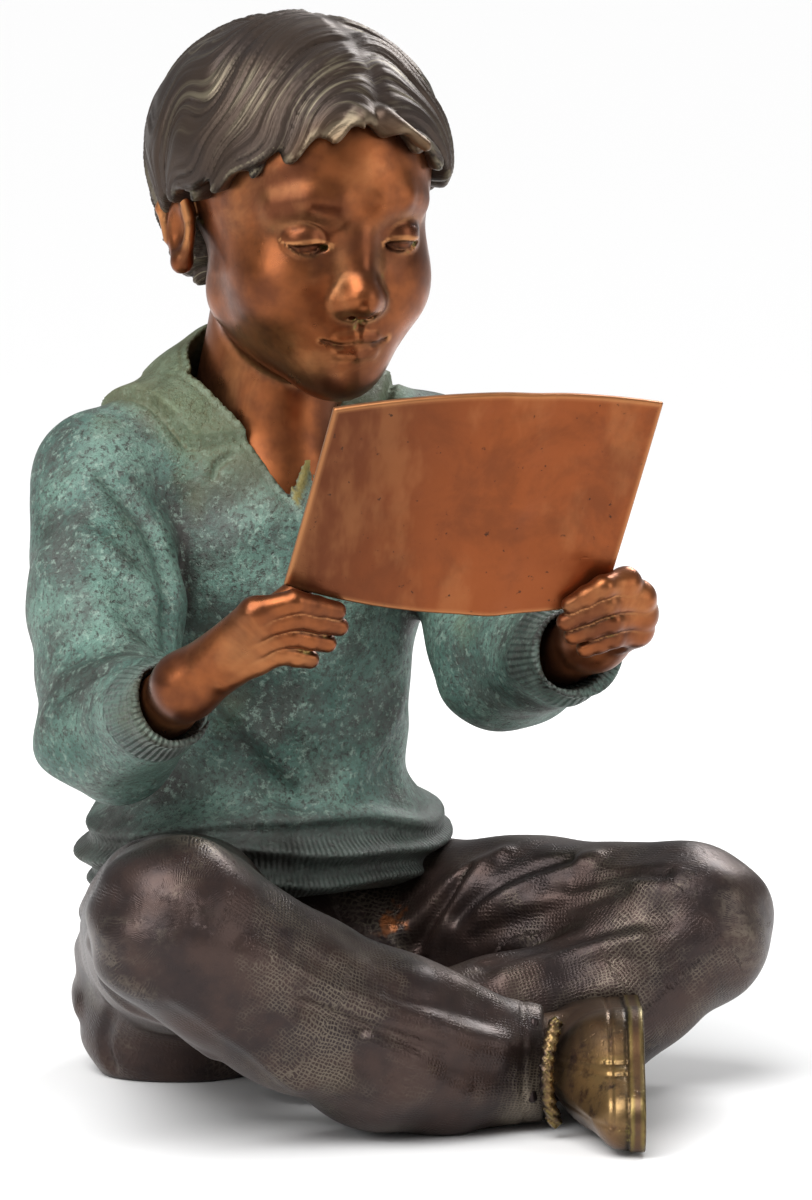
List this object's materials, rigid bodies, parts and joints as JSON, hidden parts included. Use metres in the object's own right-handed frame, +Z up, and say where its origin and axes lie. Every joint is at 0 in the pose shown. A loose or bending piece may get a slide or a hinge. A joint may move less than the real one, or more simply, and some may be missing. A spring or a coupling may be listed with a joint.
{
  "type": "seated reading boy statue",
  "caption": "Cast bronze figure of a boy sitting cross-legged on the ground, holding a curled sheet up in both hands to read it.",
  "frame": {"origin": "under the middle of the whole statue, on the surface that it sits on", "axes": "+Z up, -Y the way his crossed legs face, +X towards his left"},
  "size_m": [0.452, 0.4618, 0.6261],
  "materials": {
    "boy_bronze": "patinated cast bronze: brown skin, dark trousers and hair, green verdigris sweater",
    "sheet_bronze": "rubbed copper-brown cast bronze"
  },
  "bodies": {
    "root": {"boy": "boy_bronze", "reading_sheet": "sheet_bronze"}
  },
  "joints": []
}
